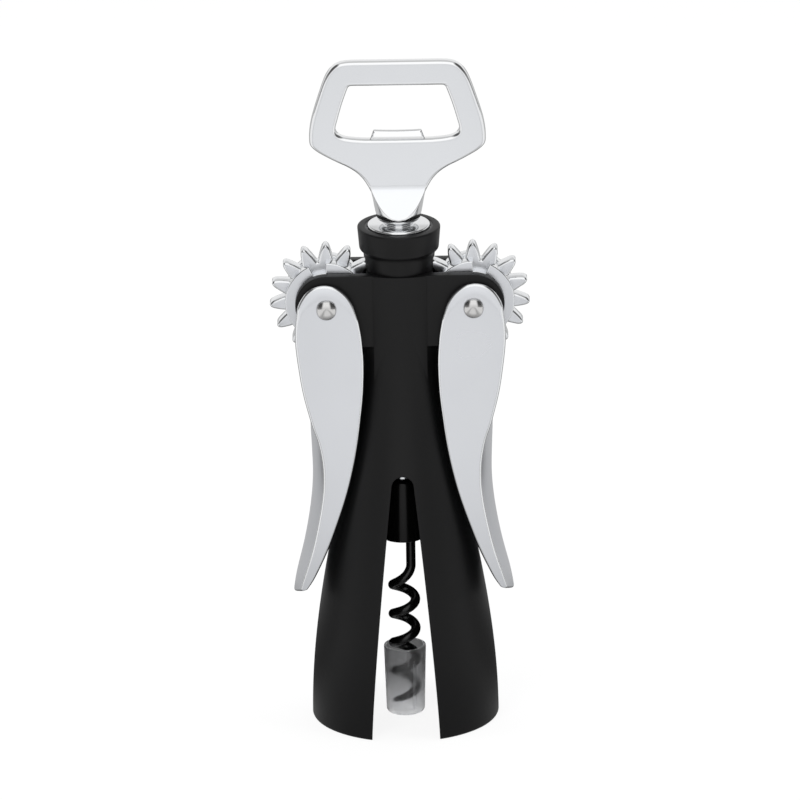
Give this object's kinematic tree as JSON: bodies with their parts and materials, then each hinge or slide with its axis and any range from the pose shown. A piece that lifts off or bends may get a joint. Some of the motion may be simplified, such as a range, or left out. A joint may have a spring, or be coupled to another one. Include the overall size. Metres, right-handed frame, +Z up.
{
  "type": "wing corkscrew",
  "caption": "Double-lever corkscrew: black bell body, satin metal wings with gears, turning cap-lifter handle, coated worm and tip cap.",
  "frame": {"origin": "centre of the bell's rim, on the plane that the corkscrew stands on", "axes": "+Z up along the worm, front with the slot faces -Y, +X to the right lever"},
  "size_m": [0.0752, 0.0504, 0.2006],
  "materials": {
    "body_plastic": "black moulded plastic with a fine satin grain",
    "bearing_plastic": "natural nylon",
    "spring_steel": "blackened spring steel",
    "bright_plate": "chrome plate on a zinc casting, satin flats and polished edges",
    "satin_plate": "satin chrome plate on a zinc casting",
    "pin_steel": "polished steel",
    "hub_plastic": "glossy black plastic",
    "worm_coating": "black non-stick coating on steel wire",
    "cap_plastic": "frosted translucent plastic"
  },
  "bodies": {
    "frame": {"body_shell": "body_plastic", "top_collar": "body_plastic", "guide_bush": "bearing_plastic", "thrust_washer": "bearing_plastic", "snap_ring": "spring_steel", "left_pivot_pin": "pin_steel", "right_pivot_pin": "pin_steel", "left_pivot_washers": "bearing_plastic", "right_pivot_washers": "bearing_plastic", "left_pin_cap": "pin_steel", "right_pin_cap": "pin_steel"},
    "handle": {"opener_handle": "bright_plate", "drive_rod": "pin_steel"},
    "screw": {"rack": "bright_plate", "worm_hub": "hub_plastic", "hub_pin": "pin_steel", "worm": "worm_coating"},
    "cap": {"tip_cap": "cap_plastic"},
    "left_wing": {"left_lever": "satin_plate"},
    "right_wing": {"right_lever": "satin_plate"}
  },
  "joints": [
    {"name": "handle_spin", "type": "hinge", "parent": "frame", "child": "handle", "pos_m": [0, 0, 0.149], "axis": [0, 0, 1], "continuous": true},
    {"name": "rack_slide", "type": "slide", "parent": "handle", "child": "screw", "axis": [0, 0, -1], "range_m": [0, 0.0225]},
    {"name": "cap_pull", "type": "slide", "parent": "screw", "child": "cap", "axis": [0, 0, -1], "range_m": [0, 0.024]},
    {"name": "left_pivot", "type": "hinge", "parent": "frame", "child": "left_wing", "pos_m": [-0.02125, 0, 0.1279], "axis": [0, 1, 0], "range_deg": [0, 90]},
    {"name": "right_pivot", "type": "hinge", "parent": "frame", "child": "right_wing", "pos_m": [0.02125, 0, 0.1279], "axis": [0, -1, 0], "range_deg": [0, 90]}
  ],
  "couplings": [
    {"joint": "right_pivot", "follows": "left_pivot", "ratio": 1},
    {"joint": "rack_slide", "follows": "left_pivot", "m_per_rad": 0.014324}
  ]
}
